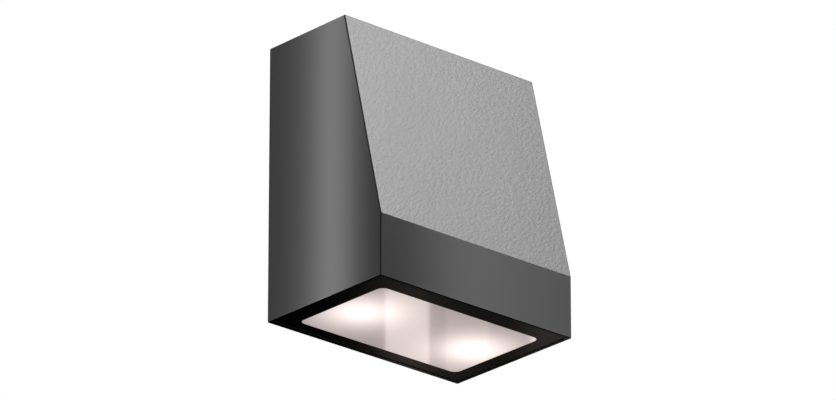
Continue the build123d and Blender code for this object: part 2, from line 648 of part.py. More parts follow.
def make_button(x):
    """Release button, shown at rest: it stands proud of the terminal and presses in along -Y."""
    rear = TERMINAL_REAR + BUTTON_PROUD
    button = block(x - BUTTON_WIDTH / 2, x + BUTTON_WIDTH / 2, rear - BUTTON_LENGTH, rear,
                   level(BUTTON_LEVEL - BUTTON_HEIGHT / 2), level(BUTTON_LEVEL + BUTTON_HEIGHT / 2))
    button = fillet(button.faces().sort_by(Axis.Y)[-1].edges(), BUTTON_EDGE)
    slot = block(x - BUTTON_SLOT_LENGTH / 2, x + BUTTON_SLOT_LENGTH / 2, rear - BUTTON_SLOT_DEPTH, rear,
                 level(BUTTON_LEVEL - BUTTON_SLOT / 2), level(BUTTON_LEVEL + BUTTON_SLOT / 2))
    return button - slot


def make_supply_wire(pole, side):
    """Terminal to the input end of the driver."""
    x = POLE_X[pole]
    entry_y = TRAY_REAR + TERMINAL_ENTRY
    end_x = -DRIVER_LENGTH / 2 + ENTRY_DEPTH
    end_level = DRIVER_LEVEL - side * INPUT_PITCH / 2
    rise_x = -DRIVER_LENGTH / 2 - SUPPLY_SIDE + side * SUPPLY_STEP
    room = DRIVER_FOOT - TERMINAL_TOP
    cross = TERMINAL_TOP + (SUPPLY_CROSS_SHARE + side * SUPPLY_SPREAD_SHARE) * room
    route = [
        (x, entry_y, TERMINAL_TOP - ENTRY_DEPTH),
        (x, entry_y, cross),
        (rise_x, ENTRY_Y, cross + SUPPLY_CLIMB_SHARE * room),
        (rise_x, ENTRY_Y, end_level),
        (end_x, ENTRY_Y, end_level),
    ]
    return wire(route, WIRE_RADIUS, SUPPLY_BEND)


def earth_barrel_end():
    """Open end of the crimp barrel on the earth ring."""
    return EARTH_X - EARTH_RING_RADIUS - BARREL_LENGTH


def make_earth_wire():
    """Terminal to the ring under the earth screw."""
    x = POLE_X[-1]
    entry_y = TRAY_REAR + TERMINAL_ENTRY
    barrel_y = TRAY_REAR + BARREL_RADIUS
    end_x = earth_barrel_end()
    route = [
        (x, entry_y, TERMINAL_TOP - ENTRY_DEPTH),
        (x, entry_y, EARTH_LEVEL - EARTH_CLIMB),
        (end_x - EARTH_RUN, barrel_y, EARTH_LEVEL),
        (end_x, barrel_y, EARTH_LEVEL),
    ]
    return wire(route, WIRE_RADIUS, EARTH_BEND)


def make_earth_ring():
    """Crimp ring: flat eye under the screw and a round barrel."""
    eye = rod(EARTH_RING_RADIUS, TRAY_REAR, TRAY_REAR + EARTH_RING_SHEET, EARTH_X, EARTH_LEVEL)
    barrel_middle = earth_barrel_end() + BARREL_LENGTH / 2
    barrel = Rot(0, 90, 0) * Cylinder(BARREL_RADIUS, BARREL_LENGTH)
    ring = eye + Pos(barrel_middle, TRAY_REAR + BARREL_RADIUS, level(EARTH_LEVEL)) * barrel
    neck = block(barrel_middle, EARTH_X, TRAY_REAR, TRAY_REAR + EARTH_RING_SHEET,
                 level(EARTH_LEVEL - BARREL_RADIUS / 2), level(EARTH_LEVEL + BARREL_RADIUS / 2))
    hole = rod(M4 + HOLE_CLEARANCE, TRAY_REAR, TRAY_REAR + EARTH_RING_SHEET, EARTH_X, EARTH_LEVEL)
    return ring + neck - hole


def make_earth_screw():
    screw = pan_screw(M4, EARTH_RING_SHEET + TRAY_SHEET + SCREW_BITE)
    return facing_wall(screw, EARTH_X, TRAY_REAR + EARTH_RING_SHEET, EARTH_LEVEL)


def make_wall_bracket():
    """Bent sheet with a flange at each end, slotted screw holes and a dished cable hole."""
    half = BRACKET_HEIGHT / 2
    bend = BEND_RADIUS + BRACKET_SHEET
    outside = FilletPolyline((-FLANGE, -half), (0, -half), (0, half), (-FLANGE, half), radius=bend)
    inside_half = half - BRACKET_SHEET
    inside = FilletPolyline((-FLANGE, inside_half), (-BRACKET_SHEET, inside_half),
                            (-BRACKET_SHEET, -inside_half), (-FLANGE, -inside_half), radius=BEND_RADIUS)
    ends = Line((-FLANGE, half), (-FLANGE, inside_half)) + Line((-FLANGE, -inside_half), (-FLANGE, -half))
    profile = make_face(Plane.YZ * (outside + inside + ends))
    bracket = extrude(profile, BRACKET_WIDTH / 2, both=True)

    plan = Pos(0, -FLANGE / 2, -half) * extrude(Rectangle(BRACKET_WIDTH, FLANGE), BRACKET_HEIGHT)
    front = plan.edges().filter_by(Axis.Z).group_by(Axis.Y)[0]
    bracket &= fillet(front, FLANGE_CORNER)

    for x in (-SLOT_SPACING_X / 2, SLOT_SPACING_X / 2):
        for z in (-SLOT_SPACING_Z / 2, SLOT_SPACING_Z / 2):
            slot = extrude(Plane.XZ * SlotOverall(SLOT_LENGTH, SLOT_WIDTH), BRACKET_SHEET)
            bracket -= Pos(x, 0, z) * slot

    # The dish leaves room for the grommet's rear lip between sheet and wall.
    floor = DISH_RADIUS - DISH_SLOPE
    dish = make_face(Plane.XY * Polyline(
        (DISH_RADIUS, 0), (DISH_RADIUS, -BRACKET_SHEET), (floor, -DISH_DEPTH - BRACKET_SHEET),
        (CABLE_HOLE_RADIUS, -DISH_DEPTH - BRACKET_SHEET), (CABLE_HOLE_RADIUS, -DISH_DEPTH),
        (floor, -DISH_DEPTH), close=True))
    bracket -= Rot(90, 0, 0) * Cylinder(DISH_RADIUS, 2 * BRACKET_SHEET)
    return bracket + revolve(dish, Axis.Y)


def make_cable_grommet():
    """Turned section: a groove for the sheet, and a lip on both sides of it."""
    lip = CABLE_HOLE_RADIUS + GROMMET_LIP_WIDTH
    rear = -DISH_DEPTH + GROMMET_LIP
    front = -DISH_DEPTH - BRACKET_SHEET - GROMMET_LIP
    section = make_face(Plane.XY * Polyline(
        (CABLE_RADIUS, rear), (lip, rear), (lip, -DISH_DEPTH), (CABLE_HOLE_RADIUS, -DISH_DEPTH),
        (CABLE_HOLE_RADIUS, -DISH_DEPTH - BRACKET_SHEET), (lip, -DISH_DEPTH - BRACKET_SHEET),
        (lip, front), (CABLE_RADIUS, front), close=True))
    return revolve(section, Axis.Y)


PIECES = {
    "wall_bracket": make_wall_bracket(),
    "cable_grommet": make_cable_grommet(),
    "housing": make_housing(),
    "wall_seal": make_wall_seal(),
    "grub_screws": make_grub_screws(),
    "glass": make_glass(),
    "glass_gasket": make_glass_gasket(),
    "glass_bead": make_glass_bead(),
    "reflector": make_reflector(),
    "reflector_screws": make_reflector_screws(),
    "thermal_pads": make_thermal_pads(),
    "board_screws": make_board_screws(),
    "led_connectors": make_led_connectors(),
    "lead_grommet": make_lead_grommet(),
    "gear_tray": make_gear_tray(),
    "tray_screws": make_tray_screws(),
    "driver_case": make_driver_case(),
    "driver_cover": make_driver_cover(),
    "driver_screws": make_driver_screws(),
    "terminal_block": make_terminal_block(),
    "terminal_screws": make_terminal_screws(),
    "live_wire": make_supply_wire(0, -1),
    "neutral_wire": make_supply_wire(1, 1),
    "earth_wire": make_earth_wire(),
    "earth_ring": make_earth_ring(),
    "earth_screw": make_earth_screw(),
}
for name, side in SIDES.items():
    PIECES["led_board_" + name] = make_led_board(side)
    PIECES["emitter_" + name] = make_emitter(side)
    PIECES["lens_" + name] = make_lens(side)
    PIECES["lead_" + name] = make_lead(side)
for pole, name in enumerate(("live", "neutral", "earth")):
    PIECES["button_" + name] = make_button(POLE_X[pole])

os.makedirs("parts", exist_ok=True)
for name, piece in PIECES.items():
    export_step(piece, f"parts/{name}.step")
print(len(PIECES), "nodes")
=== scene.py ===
# %% [markdown]
# # A wedge-shaped wall light, dressed for its picture
#
# The solids of this light come packed from CAD, each piece in its real place. This lesson gives them
# their finishes, adds the thin pieces that CAD leaves out, and sets up the camera and the studio.
# Everything is in metres, in the frame of the part: X runs along the wall, -Y points into the room,
# +Z is up, and the origin is the middle of the wall screws.

import json
import math

import bmesh
import bpy
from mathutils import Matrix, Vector


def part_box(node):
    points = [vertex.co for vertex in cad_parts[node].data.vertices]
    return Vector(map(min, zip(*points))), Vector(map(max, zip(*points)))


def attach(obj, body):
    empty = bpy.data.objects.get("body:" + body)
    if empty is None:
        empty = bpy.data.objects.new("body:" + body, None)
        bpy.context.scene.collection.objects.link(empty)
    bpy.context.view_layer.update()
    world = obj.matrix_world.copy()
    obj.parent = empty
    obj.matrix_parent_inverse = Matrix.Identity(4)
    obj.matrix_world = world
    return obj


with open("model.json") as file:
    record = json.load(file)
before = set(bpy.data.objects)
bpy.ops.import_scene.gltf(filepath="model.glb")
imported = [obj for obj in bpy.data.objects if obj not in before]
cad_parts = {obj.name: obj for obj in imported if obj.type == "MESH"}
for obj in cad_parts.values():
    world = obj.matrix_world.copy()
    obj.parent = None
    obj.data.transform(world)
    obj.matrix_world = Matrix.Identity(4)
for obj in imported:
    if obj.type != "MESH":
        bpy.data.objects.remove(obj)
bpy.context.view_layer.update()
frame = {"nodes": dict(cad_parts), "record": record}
nodes = frame["nodes"]
slot_of = {part["node"]: part["material_slot"] for part in frame["record"]["subparts"]}

# %% [markdown]
# ## Camera
#
# The light is seen from below and from its left front corner, through a very long lens: its upright
# edges stay nearly parallel. The place, the turn and the focal length below were fitted to the outline
# of the housing. Without any shift of the lens, it falls within about a pixel and a half of its place.

# %% Place the camera
CAMERA_PLACE = Vector((-3.14239, -3.57161, -1.98896))
CAMERA_YAW = math.radians(-41.807)
CAMERA_PITCH = math.radians(22.558)
FOCAL_LENGTH = 310.22
SENSOR_WIDTH = 36.0
FARTHEST_SEEN = 100.0
LIGHT_MIDDLE = Vector((0, -0.06, -0.03))

camera_data = bpy.data.cameras.new("camera")
camera_data.lens = FOCAL_LENGTH
camera_data.sensor_width = SENSOR_WIDTH
camera_data.clip_end = FARTHEST_SEEN
camera = bpy.data.objects.new("camera", camera_data)
camera.location = CAMERA_PLACE
camera.rotation_euler = (math.pi / 2 + CAMERA_PITCH, 0.0, CAMERA_YAW)
bpy.context.collection.objects.link(camera)
bpy.context.scene.camera = camera
print("camera", round((CAMERA_PLACE - LIGHT_MIDDLE).length, 2), "m from the light")

# %% [markdown]
# ## A small language for shader nodes
#
# A finish is a graph of shader nodes. Laying the graph out node by node hides its sense, so three small
# classes let it be written as arithmetic. A Channel is one output of a node and knows plus, minus,
# times and divide. A Graph is a tree of nodes, and its node method makes any other kind of node. A
# Finish is the graph of one material, with the patterns that the pieces of this light need.


# %% Channels
class Channel:
    """One output of a node, for use in Python expressions."""

    def __init__(self, graph, socket):
        self.graph = graph
        self.socket = socket

    def maths(self, operation, *others):
        return self.graph.node("ShaderNodeMath", {"operation": operation}, dict(enumerate((self, *others))))

    def __add__(self, other):
        return self.maths("ADD", other)

    def __sub__(self, other):
        return self.maths("SUBTRACT", other)

    def __rsub__(self, other):
        return self.graph.node("ShaderNodeMath", {"operation": "SUBTRACT"}, {0: other, 1: self})

    def __mul__(self, other):
        return self.maths("MULTIPLY", other)

    def __truediv__(self, other):
        return self.maths("DIVIDE", other)

    __radd__ = __add__
    __rmul__ = __mul__

    def between(self, low, high):
        """Smooth step from 0 at low to 1 at high."""
        return self.graph.node("ShaderNodeMapRange", {"interpolation_type": "SMOOTHSTEP"},
                               {"Value": self, "From Min": low, "From Max": high})


reflected = [name for name in vars(Channel) if name.startswith("__r")]
print("channels know", ", ".join(reflected), "and between")


# %% Graphs
class Graph:
    """A tree of shader nodes that ends in one output node."""

    def __init__(self, tree, ending):
        self.tree = tree
        tree.nodes.clear()
        self.ending = tree.nodes.new(ending)

    def node(self, kind, settings=None, links=None, output=0):
        """Any node: its settings first, then the values or links of its sockets."""
        made = self.tree.nodes.new(kind)
        for name, value in (settings or {}).items():
            if name == "stops":
                self.stops(made.color_ramp.elements, value)
            else:
                setattr(made, name, value)
        for name, value in (links or {}).items():
            self.feed(made.inputs[name], value)
        return Channel(self, made.outputs[output])

    def stops(self, elements, stops):
        """Colours of a ramp, each with its place from 0 to 1."""
        for place, _ in stops[1:-1]:
            elements.new(place)
        for element, (place, colour) in zip(elements, stops):
            element.position = place
            element.color = (*colour, 1.0)

    def feed(self, socket, value):
        """Links a channel to a socket, or sets the socket's own value."""
        if isinstance(value, Channel):
            self.tree.links.new(value.socket, socket)
        elif socket.type == "RGBA" and len(value) == 3:
            socket.default_value = (*value, 1.0)
        else:
            socket.default_value = value

    def end(self, shader):
        """Makes a shader what the output shows."""
        self.feed(self.ending.inputs["Surface"], shader)


print("graphs make nodes, links and the stops of a ramp")


# %% Finishes
MIX_SHARE, MIX_FIRST, MIX_SECOND, MIX_RESULT = 0, 6, 7, 2


def input_name(word):
    """The name of a shader's socket, from a Python word: base_color is Base Color."""
    return word.replace("_", " ").title().replace("Ior", "IOR")


class Finish(Graph):
    """A material made of nodes, with one Principled surface to start from."""

    def __init__(self, name, **surface):
        self.material = bpy.data.materials.new(name)
        self.material.use_nodes = True
        super().__init__(self.material.node_tree, "ShaderNodeOutputMaterial")
        self.surface = self.principled(**surface)
        self.end(self.surface)

    def principled(self, **surface):
        inputs = {input_name(word): value for word, value in surface.items()}
        return self.node("ShaderNodeBsdfPrincipled", None, inputs)

    def set(self, **surface):
        """Values or links of the first surface."""
        for word, value in surface.items():
            self.feed(self.surface.socket.node.inputs[input_name(word)], value)

    def place(self):
        """Place on the piece, in metres of the part's frame."""
        return self.node("ShaderNodeTexCoord", output="Object")

    def axes(self):
        """X, Y and Z of that place."""
        split = self.node("ShaderNodeSeparateXYZ", None, {0: self.place()})
        return [Channel(self, split.socket.node.outputs[axis]) for axis in "XYZ"]

    def noise(self, size, detail=2.0, place=None):
        """Noise from 0 to 1 whose features are about size metres across."""
        return self.node("ShaderNodeTexNoise", None,
                         {"Vector": place or self.place(), "Scale": 1.0 / size, "Detail": detail})

    def lines(self, axis, length, width):
        """Noise that is drawn out into lines along X, Y or Z."""
        scale = [length / width if name != axis else 1.0 for name in "XYZ"]
        drawn = self.node("ShaderNodeMapping", None, {"Vector": self.place(), "Scale": scale})
        return self.noise(length, 2.0, drawn)

    def mix(self, share, first, second):
        """Colour between two colours. The sockets are numbered, because several share a name."""
        return self.node("ShaderNodeMix", {"data_type": "RGBA"},
                         {MIX_SHARE: share, MIX_FIRST: first, MIX_SECOND: second}, MIX_RESULT)

    def bump(self, height, depth):
        """Normal of a relief that is depth metres high where height goes from 0 to 1."""
        return self.node("ShaderNodeBump", None, {"Height": height, "Distance": depth})


FINISHES = {}
print("finishes start with", input_name("base_color"), "and", input_name("specular_ior_level"))

# %% [markdown]
# ## Graphite coat
#
# The casting is powder coated in a metallic graphite. Powder melts into a fine orange peel: soft
# pimples about three millimetres apart, which show where a broad lamp shines on the slanted panel and
# nearly vanish on the other faces. A photograph of paint could be wrapped on, but a noise in the
# frame of the part has no seams and keeps its scale. The pimples are a little longer along one diagonal,
# as if a spray gun had followed it. The metal flakes follow the peel, so a second noise of about that size
# shifts the tone. The rim carries painted shade: its underside takes the black of the glass border, and a
# narrow band of matt black on the foot of the walls is a painted shadow line.

# %% Graphite coat
GRAPHITE_DEEP = (0.043, 0.043, 0.0435)
GRAPHITE_PALE = (0.057, 0.057, 0.0575)
SOOT = (0.0008, 0.0008, 0.0008)
PEEL = 0.0035
PEEL_WAY = math.radians(-41)
PEEL_STRETCH = (1.33, 1.0, 0.6)
PEEL_DEPTH = 0.000023
PEEL_FLANK = (0.43, 0.57)
PEEL_ELSEWHERE = 0.2
COAT_GRAIN = 0.0007
GRAIN_PART = 0.03
FLAKE_SIZE = 0.8 * PEEL
FLAKE_SPREAD = 0.5
CLOUD_SIZE = 0.03
CLOUD_SPREAD = 0.2
PANEL_TOP = (-0.081, 0.079)
PANEL_NORMAL = (-0.9726, 0.2327)
PANEL_SKIN = (-0.0008, -0.0002)
# Heights of the painted shade along the rim: its underside, and the shadow line on the foot of the walls.
RIM_UNDERSIDE = (-0.1309, -0.1308)
RIM_SHADOW_LINE = (-0.1306, -0.1302)


def black_enamel_and_painted_shade(finish):
    """Black enamel that is fired on the glass, with a faint sheen. On the rim's underside the same black is
    painted shade.
    """
    return finish.principled(base_color=SOOT, roughness=0.34, specular_ior_level=0.017)


def painted_shadow_black(finish):
    """Painted shade: a black that mirrors nothing, for the shadow line on the foot of the walls."""
    return finish.principled(base_color=SOOT, roughness=0.8, specular_ior_level=0.0)


def graphite_coat():
    """Coat whose relief is full on the slanted panel, over a rim with painted black shade."""
    coat = Finish("graphite_coat", metallic=0.9, ior=1.5)
    _, y, z = coat.axes()
    from_panel = PANEL_NORMAL[0] * (y - PANEL_TOP[0]) + PANEL_NORMAL[1] * (z - PANEL_TOP[1])
    share = PEEL_ELSEWHERE + (1 - PEEL_ELSEWHERE) * from_panel.between(*PANEL_SKIN)
    grain = coat.noise(COAT_GRAIN)
    drawn = coat.node("ShaderNodeMapping", {"vector_type": "TEXTURE"},
                      {"Vector": coat.place(), "Rotation": (0.0, PEEL_WAY, 0.0), "Scale": PEEL_STRETCH})
    peel = coat.noise(PEEL, 0.0, drawn).between(*PEEL_FLANK)
    relief = ((1 - GRAIN_PART) * peel + GRAIN_PART * grain - 0.5) * share
    flakes = FLAKE_SPREAD * (coat.noise(FLAKE_SIZE, 1.0, drawn) - 0.5)
    clouds = CLOUD_SPREAD * (coat.noise(CLOUD_SIZE) - 0.5)
    tone = 0.5 + (flakes + clouds) * share
    coat.set(base_color=coat.mix(tone, GRAPHITE_DEEP, GRAPHITE_PALE), roughness=0.30 + 0.05 * grain,
             normal=coat.bump(relief, PEEL_DEPTH))
    # Painted shade: the rim's underside is as black as the glass border, and the foot of the walls is a matt
    # black shadow line.
    foot = coat.node("ShaderNodeMixShader", None,
                     {0: z.between(*RIM_UNDERSIDE), 1: black_enamel_and_painted_shade(coat), 2: painted_shadow_black(coat)})
    coat.end(coat.node("ShaderNodeMixShader", None, {0: z.between(*RIM_SHADOW_LINE), 1: foot, 2: coat.surface}))
    return coat


FINISHES["graphite_coat"] = graphite_coat()
print("graphite coat with peel of", 1000 * PEEL, "mm")

# %% [markdown]
# ## Satin glass with a fired border
#
# The window is one sheet of toughened glass. Its inner face is etched, so the two light sources show as
# soft round patches in the plane of the glass, and its outer face is smooth and mirrors the studio.
# Clear glass over real lamps would need very many samples, so the light that leaves the etched face is
# given as an emission, under a clear coat that does the mirroring. A border of black enamel is fired on
# round the window. One mask with round corners, a distance to a rounded rectangle, chooses between them.

# %% The glow of the window
SPOT_X = 0.0539
SPOT_Y = -0.0575
GLOW_TINT = (1.163, 1.0, 0.967)
GLOW_LEVEL = 0.29
GLOW_SLOPE = 0.2
GLOW_CORE = (0.662, 0.0252)
GLOW_HALO = (0.324, 0.0442)


def glow(x, y):
    """Light that leaves the etched face: a low level, and a core and a halo at each light source."""
    level = GLOW_LEVEL + GLOW_SLOPE * (y - SPOT_Y)
    for side in (-1, 1):
        dx = x - side * SPOT_X
        dy = y - SPOT_Y
        square = dx * dx + dy * dy
        for height, reach in (GLOW_CORE, GLOW_HALO):
            level = height * (square * (-1.0 / reach ** 2)).maths("EXPONENT") + level
    return level


print("the window glows from", GLOW_LEVEL, "to", round(GLOW_LEVEL + GLOW_CORE[0] + GLOW_HALO[0], 2))

# %% Satin glass
WINDOW_MIDDLE = (0.00045, -0.0590)
WINDOW_HALF = (0.07405, 0.0442)
WINDOW_CORNER = 0.0055
BORDER_SOFT = 0.0002
GLASS_BODY = (0.03, 0.03, 0.03)


def satin_glass():
    glass = Finish("satin_glass", base_color=GLASS_BODY, roughness=0.5, specular_ior_level=0.3,
                   coat_weight=1.0, coat_roughness=0.08, emission_strength=1.0)
    x, y, _ = glass.axes()
    glass.set(emission_color=glass.node("ShaderNodeVectorMath", {"operation": "SCALE"},
                                        {0: GLOW_TINT, "Scale": glow(x, y)}))
    out_x, out_y = [
        ((place - middle).maths("ABSOLUTE") - (half - WINDOW_CORNER)).maths("MAXIMUM", 0.0)
        for place, middle, half in zip((x, y), WINDOW_MIDDLE, WINDOW_HALF)
    ]
    distance = (out_x * out_x + out_y * out_y).maths("SQRT")
    border = distance.between(WINDOW_CORNER - BORDER_SOFT, WINDOW_CORNER + BORDER_SOFT)
    glass.end(glass.node("ShaderNodeMixShader", None, {0: border, 1: glass.surface, 2: black_enamel_and_painted_shade(glass)}))
    return glass


FINISHES["satin_glass"] = satin_glass()
print("satin window of", [round(2000 * half, 1) for half in WINDOW_HALF], "mm in its black border")

# %% [markdown]
# ## Zinc-plated steel
#
# The wall bracket, the gear tray and all screws are zinc-plated. Zinc grows in flat crystals of a few
# millimetres, each a little lighter or darker, over the faint lines that the rolling mill leaves in the
# sheet. A Voronoi pattern gives every crystal a tone of its own, which noise alone can't, and a noise
# that is drawn out along X gives the lines.

# %% Zinc-plated steel
CRYSTAL = 0.0042
ROLLING_LENGTH = 0.03
ROLLING_WIDTH = 0.0006
STAIN = 0.025
ZINC_DEEP = (0.44, 0.46, 0.48)
ZINC_PALE = (0.60, 0.62, 0.64)
ZINC_STAINED = (0.40, 0.40, 0.38)
ZINC_DEPTH = 0.00001


def zinc_steel():
    zinc = Finish("zinc_steel", metallic=1.0)
    cells = zinc.node("ShaderNodeTexVoronoi", None, {"Vector": zinc.place(), "Scale": 1 / CRYSTAL}, "Color")
    crystal = zinc.node("ShaderNodeSeparateColor", None, {0: cells})
    rolling = zinc.lines("X", ROLLING_LENGTH, ROLLING_WIDTH)
    stain = zinc.noise(STAIN, 3.0).between(0.45, 0.75)
    bright = zinc.mix(0.6 * crystal + 0.4 * rolling, ZINC_DEEP, ZINC_PALE)
    zinc.set(base_color=zinc.mix(0.35 * stain, bright, ZINC_STAINED),
             roughness=0.36 + 0.12 * crystal + 0.14 * rolling,
             normal=zinc.bump(0.7 * rolling + 0.3 * crystal, ZINC_DEPTH))
    return zinc


FINISHES["zinc_steel"] = zinc_steel()
print("zinc crystals of", 1000 * CRYSTAL, "mm")

# %% [markdown]
# ## Rubber and soft pads
#
# The seals and grommets are black moulded rubber, which is never quite black: a pale bloom comes out of
# it in patches, and its skin has a fine grain. The heat pads under the light boards are a grey
# silicone full of tiny bright grains. Both are one noise for the skin and another for the patches.

# %% Rubber and soft pads
RUBBER_GRAIN = 0.0005
RUBBER_DEPTH = 0.00004
RUBBER_BLACK = (0.008, 0.008, 0.0085)
BLOOM = 0.012
BLOOM_GREY = (0.024, 0.024, 0.023)
PAD_FILLER = 0.0004
PAD_PATCH = 0.006
PAD_DEPTH = 0.00005
PAD_DEEP = (0.15, 0.19, 0.23)
PAD_PALE = (0.20, 0.24, 0.28)
PAD_GRAINS = (0.5, 0.53, 0.56)


def black_rubber():
    rubber = Finish("black_rubber", specular_ior_level=0.35)
    grain = rubber.noise(RUBBER_GRAIN, 3.0)
    bloom = rubber.noise(BLOOM, 3.0).between(0.45, 0.75)
    rubber.set(base_color=rubber.mix(0.7 * bloom + 0.3 * grain, RUBBER_BLACK, BLOOM_GREY),
               roughness=0.62 + 0.2 * grain, normal=rubber.bump(grain, RUBBER_DEPTH))
    return rubber


def thermal_pad():
    pad = Finish("thermal_pad", specular_ior_level=0.3)
    filler = pad.noise(PAD_FILLER, 3.0)
    ground = pad.mix(pad.noise(PAD_PATCH), PAD_DEEP, PAD_PALE)
    pad.set(base_color=pad.mix(0.6 * filler.between(0.55, 0.7), ground, PAD_GRAINS),
            roughness=0.7 + 0.2 * filler, normal=pad.bump(filler, PAD_DEPTH))
    return pad


FINISHES["black_rubber"] = black_rubber()
FINISHES["thermal_pad"] = thermal_pad()
print("rubber grain of", 1000 * RUBBER_GRAIN, "mm")

# %% [markdown]
# ## Bright aluminium
#
# The reflector is drawn from bright anodised sheet, and the plate on the driver is the same metal.
# Drawing leaves fine upright lines that widen a mirror image along one way, so the lines go into the
# roughness and into a very shallow relief.

# %% Bright aluminium
DRAW_LENGTH = 0.03
DRAW_LINE = 0.0004
DRAW_DEPTH = 0.000008
HAZE = 0.02
SHEET_DEEP = (0.68, 0.68, 0.69)
SHEET_PALE = (0.78, 0.78, 0.79)


def bright_aluminium():
    sheet = Finish("bright_aluminium", metallic=1.0)
    drawn = sheet.lines("Z", DRAW_LENGTH, DRAW_LINE)
    haze = sheet.noise(HAZE, 3.0)
    sheet.set(base_color=sheet.mix(0.5 * drawn + 0.5 * haze, SHEET_DEEP, SHEET_PALE),
              roughness=0.24 + 0.16 * drawn, normal=sheet.bump(drawn, DRAW_DEPTH))
    return sheet


FINISHES["bright_aluminium"] = bright_aluminium()
print("draw lines of", 1000 * DRAW_LINE, "mm")

# %% [markdown]
# ## Light boards, light sources and lenses
#
# Each board is aluminium under white solder mask, dotted with small filled holes. On it sits a light
# source: a yellow phosphor disc inside a white dam on a pale ceramic plate. All three are rings round the
# same point, so a colour ramp over the distance from that point paints them. The lens over it is clear
# moulded acrylic, which lets the light through, with a faint haze from the mould.

# %% Light boards
LED_X = 0.054
LED_Y = -0.060
VIA_PITCH = 0.005
VIA_RADIUS = 0.0005
VIA_GREY = (0.42, 0.43, 0.42)
MASK_SKIN = 0.0012
MASK_CLOUDS = 0.01
MASK_DEPTH = 0.00003
MASK_DEEP = (0.72, 0.73, 0.70)
MASK_PALE = (0.80, 0.80, 0.77)


def board_white():
    board = Finish("board_white", ior=1.5)
    x, y, _ = board.axes()
    across = (x / VIA_PITCH).maths("FRACT") - 0.5
    along = (y / VIA_PITCH).maths("FRACT") - 0.5
    from_via = VIA_PITCH * (across * across + along * along).maths("SQRT")
    via = 1 - from_via.between(0.8 * VIA_RADIUS, 1.2 * VIA_RADIUS)
    skin = board.noise(MASK_SKIN, 3.0)
    mask = board.mix(0.5 * skin + 0.5 * board.noise(MASK_CLOUDS), MASK_DEEP, MASK_PALE)
    board.set(base_color=board.mix(0.6 * via, mask, VIA_GREY), roughness=0.3 + 0.14 * skin,
              normal=board.bump(0.2 * skin - via, MASK_DEPTH))
    return board


FINISHES["board_white"] = board_white()
print("board holes every", 1000 * VIA_PITCH, "mm")

# %% Light sources and lenses
SOURCE_REACH = 0.0134
PHOSPHOR = (0.80, 0.55, 0.10)
DAM = (0.78, 0.78, 0.74)
CERAMIC = (0.62, 0.63, 0.60)
RINGS = [(0.0, PHOSPHOR), (0.41, PHOSPHOR), (0.43, DAM), (0.49, DAM), (0.52, CERAMIC), (1.0, CERAMIC)]
LIT_EDGE = (0.40, 0.44)
UNLIT = (0.0, 0.0, 0.0)
PHOSPHOR_LIGHT = (0.9, 0.8, 0.62)
POWDER = 0.0003
POWDER_DEPTH = 0.00002
POWDER_TONE = (0.5, 0.45, 0.3)
FLOW = 0.008
ACRYLIC_DEEP = (0.90, 0.93, 0.95)
ACRYLIC_PALE = (0.96, 0.98, 0.99)


def emitter_phosphor():
    """Rings round each light source. Their places in RINGS are shares of SOURCE_REACH."""
    source = Finish("emitter_phosphor", ior=1.5, emission_strength=1.0)
    x, y, _ = source.axes()
    dx = x.maths("ABSOLUTE") - LED_X
    dy = y - LED_Y
    distance = (dx * dx + dy * dy).maths("SQRT") / SOURCE_REACH
    rings = source.node("ShaderNodeValToRGB", {"stops": RINGS}, {0: distance})
    powder = source.noise(POWDER, 3.0)
    lit = 1 - distance.between(*LIT_EDGE)
    source.set(base_color=source.mix(0.12 * powder, rings, POWDER_TONE), roughness=0.35 + 0.25 * powder,
               emission_color=source.mix(lit, UNLIT, PHOSPHOR_LIGHT),
               normal=source.bump(powder, POWDER_DEPTH))
    return source


def clear_acrylic():
    lens = Finish("clear_acrylic", ior=1.49, transmission_weight=1.0)
    flow = lens.noise(FLOW, 3.0)
    lens.set(base_color=lens.mix(flow, ACRYLIC_DEEP, ACRYLIC_PALE), roughness=0.02 + 0.06 * flow)
    return lens


FINISHES["emitter_phosphor"] = emitter_phosphor()
FINISHES["clear_acrylic"] = clear_acrylic()
print("light sources at", (LED_X, LED_Y), "and its mirror place")

# %% [markdown]
# ## Moulded plastics
#
# The driver, the terminal block, its buttons and the plugs are injection moulded. The mould is spark
# eroded, which leaves a fine even matt skin, and the melt flows in slow clouds of colour. The three
# plastics differ only in colour and gloss, so one function makes them all.

# %% Moulded plastics
EROSION = 0.0005
EROSION_DEPTH = 0.00003
MELT_CLOUDS = 0.014
MELT_SHADE = 0.82
PLASTICS = {
    "white_plastic": ((0.76, 0.76, 0.72), 0.34),
    "grey_plastic": ((0.24, 0.255, 0.275), 0.38),
    "orange_plastic": ((0.72, 0.14, 0.012), 0.30),
}


def moulded(name, colour, roughness):
    plastic = Finish(name, ior=1.5)
    clouds = plastic.noise(MELT_CLOUDS, 3.0)
    skin = plastic.noise(EROSION)
    shade = tuple(MELT_SHADE * part for part in colour)
    plastic.set(base_color=plastic.mix(0.7 * clouds + 0.3 * skin, shade, colour),
                roughness=roughness + 0.16 * skin, normal=plastic.bump(skin, EROSION_DEPTH))
    return plastic


for name, (colour, roughness) in PLASTICS.items():
    FINISHES[name] = moulded(name, colour, roughness)
print("matt skin of", 1000 * EROSION, "mm on", len(PLASTICS), "plastics")

# %% [markdown]
# ## Wires and their copper
#
# The insulation of a wire is drawn through a die and stays smooth, with a dull patch where a hand has
# bent it. The earth wire is green with a broad yellow stripe along it: its run lies level with the tray,
# so the half of the wire that faces the wall can be told by its depth and painted yellow. The ring on its
# end is tinned copper, where the copper shows a little through the tin.

# %% Insulation
EARTH_DEPTH = -0.0546
STRIPE_SOFT = 0.0001
BENDS = 0.009
BEND_SHADE = 0.8
WIRE_SKIN = 0.0006
WIRE_RELIEF = 0.00001
YELLOW = (0.62, 0.50, 0.02)


